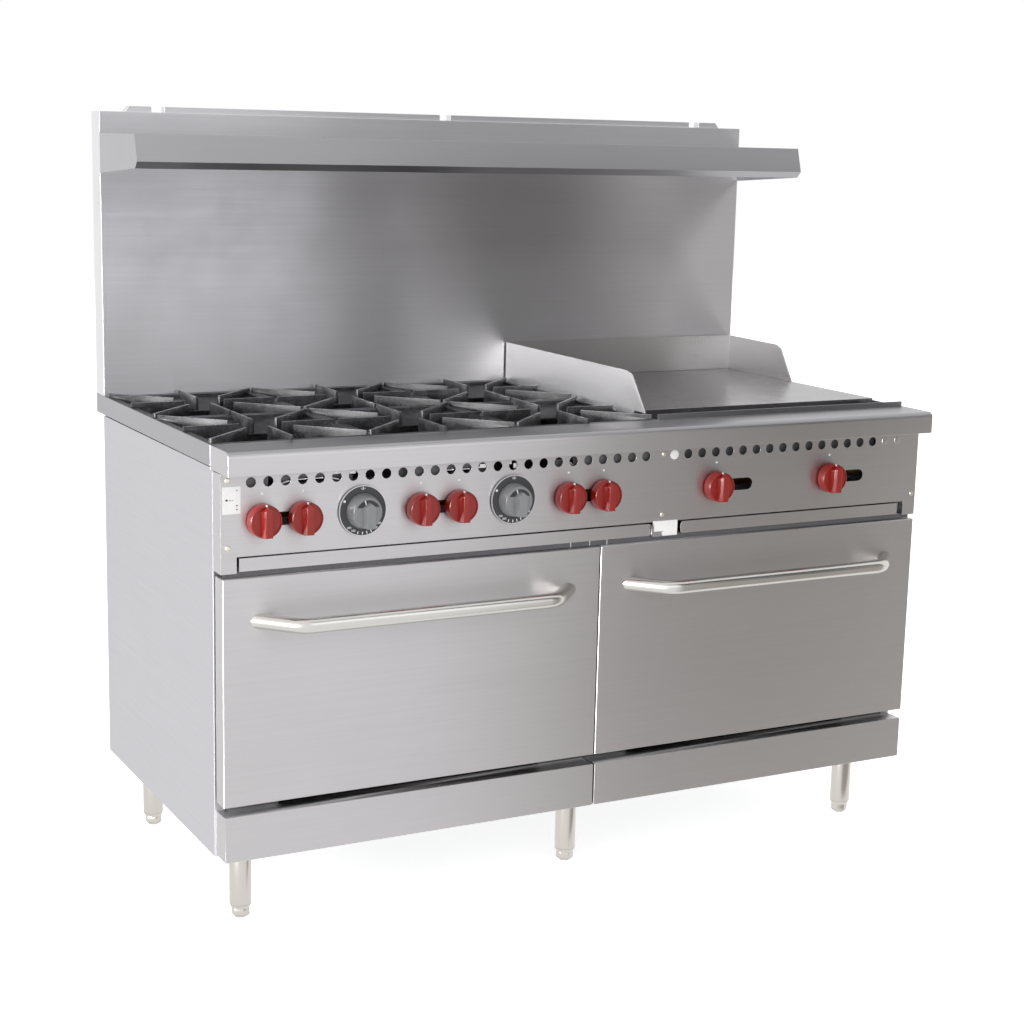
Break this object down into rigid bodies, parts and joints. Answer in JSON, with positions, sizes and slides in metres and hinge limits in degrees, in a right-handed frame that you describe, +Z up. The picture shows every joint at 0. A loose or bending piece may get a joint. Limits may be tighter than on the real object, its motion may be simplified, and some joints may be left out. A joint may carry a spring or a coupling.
{
  "type": "commercial gas range",
  "caption": "Freestanding restaurant gas range: open burners with cast grates, a griddle with splash guards, paired drop-down ovens, drip trays, and a tall backguard with shelf.",
  "frame": {"origin": "on the floor, at the middle of the overall width and depth", "axes": "+X to the right as seen by the cook, +Y towards the wall, +Z up"},
  "size_m": [1.524, 0.84, 1.479],
  "materials": {
    "stainless": "brushed stainless steel, matt",
    "side_steel": "brushed stainless steel, light",
    "bright_steel": "polished steel tube",
    "griddle_steel": "ground hot-rolled plate",
    "galvanised": "galvanised sheet",
    "cast_iron": "black cast iron, matt",
    "enamel": "dark porcelain enamel, glossy",
    "rack_wire": "chromed wire",
    "brass": "brass valves on a gas pipe",
    "red_knob": "glossy dark red",
    "grey_knob": "satin grey",
    "black_bezel": "matt black"
  },
  "bodies": {
    "range": {"side_panel_left": "side_steel", "kick_plate_left": "stainless", "oven_cavity_left": "enamel", "oven_burner_left": "cast_iron", "thermostat_left": "black_bezel", "side_panel_right": "side_steel", "kick_plate_right": "stainless", "oven_cavity_right": "enamel", "oven_burner_right": "cast_iron", "thermostat_right": "black_bezel", "burner_front_left": "cast_iron", "burner_front_centre": "cast_iron", "burner_front_right": "cast_iron", "burner_rear_left": "cast_iron", "burner_rear_centre": "cast_iron", "burner_rear_right": "cast_iron", "leg_front_left": "bright_steel", "leg_front_middle": "bright_steel", "leg_front_right": "bright_steel", "leg_rear_left": "bright_steel", "leg_rear_middle": "bright_steel", "leg_rear_right": "bright_steel", "back_panel": "galvanised", "chassis": "galvanised", "control_panel": "stainless", "front_rail": "stainless", "gas_manifold": "brass", "cooktop_frame": "stainless", "griddle_plate": "griddle_steel", "griddle_splash": "stainless", "griddle_burner": "cast_iron", "grease_trough": "stainless", "riser": "stainless", "high_shelf": "stainless"},
    "door_left": {"oven_door_left": "stainless", "door_liner_left": "enamel", "door_handle_left": "bright_steel"},
    "rack_left": {"oven_rack_left": "rack_wire"},
    "tray_left": {"drip_tray_left": "stainless"},
    "door_right": {"oven_door_right": "stainless", "door_liner_right": "enamel", "door_handle_right": "bright_steel"},
    "rack_right": {"oven_rack_right": "rack_wire"},
    "tray_right": {"drip_tray_right": "stainless"},
    "knob_rear_left_body": {"knob_rear_left": "red_knob"},
    "knob_front_left_body": {"knob_front_left": "red_knob"},
    "knob_rear_centre_body": {"knob_rear_centre": "red_knob"},
    "knob_front_centre_body": {"knob_front_centre": "red_knob"},
    "knob_rear_right_body": {"knob_rear_right": "red_knob"},
    "knob_front_right_body": {"knob_front_right": "red_knob"},
    "knob_griddle_left_body": {"knob_griddle_left": "red_knob"},
    "knob_griddle_right_body": {"knob_griddle_right": "red_knob"},
    "thermostat_knob_left_body": {"thermostat_knob_left": "grey_knob"},
    "thermostat_knob_right_body": {"thermostat_knob_right": "grey_knob"},
    "lift_grate_front_left": {"grate_front_left": "cast_iron"},
    "lift_grate_front_centre": {"grate_front_centre": "cast_iron"},
    "lift_grate_front_right": {"grate_front_right": "cast_iron"},
    "lift_grate_rear_left": {"grate_rear_left": "cast_iron"},
    "lift_grate_rear_centre": {"grate_rear_centre": "cast_iron"},
    "lift_grate_rear_right": {"grate_rear_right": "cast_iron"}
  },
  "joints": [
    {"name": "door_left_hinge", "type": "hinge", "parent": "range", "child": "door_left", "pos_m": [-0.3795, -0.324, 0.259], "axis": [1, 0, 0], "range_deg": [0, 90]},
    {"name": "rack_left_slide", "type": "slide", "parent": "range", "child": "rack_left", "axis": [0, -1, 0], "range_m": [0, 0.08]},
    {"name": "tray_left_slide", "type": "slide", "parent": "range", "child": "tray_left", "axis": [0, -1, 0], "range_m": [0, 0.5]},
    {"name": "door_right_hinge", "type": "hinge", "parent": "range", "child": "door_right", "pos_m": [0.3795, -0.324, 0.259], "axis": [1, 0, 0], "range_deg": [0, 90]},
    {"name": "rack_right_slide", "type": "slide", "parent": "range", "child": "rack_right", "axis": [0, -1, 0], "range_m": [0, 0.08]},
    {"name": "tray_right_slide", "type": "slide", "parent": "range", "child": "tray_right", "axis": [0, -1, 0], "range_m": [0, 0.5]},
    {"name": "knob_rear_left_turn", "type": "hinge", "parent": "range", "child": "knob_rear_left_body", "pos_m": [-0.686, -0.344, 0.771], "axis": [0, -1, 0], "range_deg": [0, 90]},
    {"name": "knob_front_left_turn", "type": "hinge", "parent": "range", "child": "knob_front_left_body", "pos_m": [-0.6095, -0.344, 0.771], "axis": [0, -1, 0], "range_deg": [0, 90]},
    {"name": "knob_rear_centre_turn", "type": "hinge", "parent": "range", "child": "knob_rear_centre_body", "pos_m": [-0.3815, -0.344, 0.771], "axis": [0, -1, 0], "range_deg": [0, 90]},
    {"name": "knob_front_centre_turn", "type": "hinge", "parent": "range", "child": "knob_front_centre_body", "pos_m": [-0.305, -0.344, 0.771], "axis": [0, -1, 0], "range_deg": [0, 90]},
    {"name": "knob_rear_right_turn", "type": "hinge", "parent": "range", "child": "knob_rear_right_body", "pos_m": [-0.0745, -0.344, 0.771], "axis": [0, -1, 0], "range_deg": [0, 90]},
    {"name": "knob_front_right_turn", "type": "hinge", "parent": "range", "child": "knob_front_right_body", "pos_m": [0.002, -0.344, 0.771], "axis": [0, -1, 0], "range_deg": [0, 90]},
    {"name": "knob_griddle_left_turn", "type": "hinge", "parent": "range", "child": "knob_griddle_left_body", "pos_m": [0.2594, -0.344, 0.771], "axis": [0, -1, 0], "range_deg": [0, 90]},
    {"name": "knob_griddle_right_turn", "type": "hinge", "parent": "range", "child": "knob_griddle_right_body", "pos_m": [0.534, -0.344, 0.771], "axis": [0, -1, 0], "range_deg": [0, 90]},
    {"name": "thermostat_knob_left_turn", "type": "hinge", "parent": "range", "child": "thermostat_knob_left_body", "pos_m": [-0.4975, -0.344, 0.775], "axis": [0, 1, 0], "range_deg": [0, 270]},
    {"name": "thermostat_knob_right_turn", "type": "hinge", "parent": "range", "child": "thermostat_knob_right_body", "pos_m": [-0.1936, -0.344, 0.775], "axis": [0, 1, 0], "range_deg": [0, 270]},
    {"name": "grate_front_left_lift", "type": "slide", "parent": "range", "child": "lift_grate_front_left", "axis": [0, 0, 1], "range_m": [0, 0.12]},
    {"name": "grate_front_centre_lift", "type": "slide", "parent": "range", "child": "lift_grate_front_centre", "axis": [0, 0, 1], "range_m": [0, 0.12]},
    {"name": "grate_front_right_lift", "type": "slide", "parent": "range", "child": "lift_grate_front_right", "axis": [0, 0, 1], "range_m": [0, 0.12]},
    {"name": "grate_rear_left_lift", "type": "slide", "parent": "range", "child": "lift_grate_rear_left", "axis": [0, 0, 1], "range_m": [0, 0.12]},
    {"name": "grate_rear_centre_lift", "type": "slide", "parent": "range", "child": "lift_grate_rear_centre", "axis": [0, 0, 1], "range_m": [0, 0.12]},
    {"name": "grate_rear_right_lift", "type": "slide", "parent": "range", "child": "lift_grate_rear_right", "axis": [0, 0, 1], "range_m": [0, 0.12]}
  ]
}
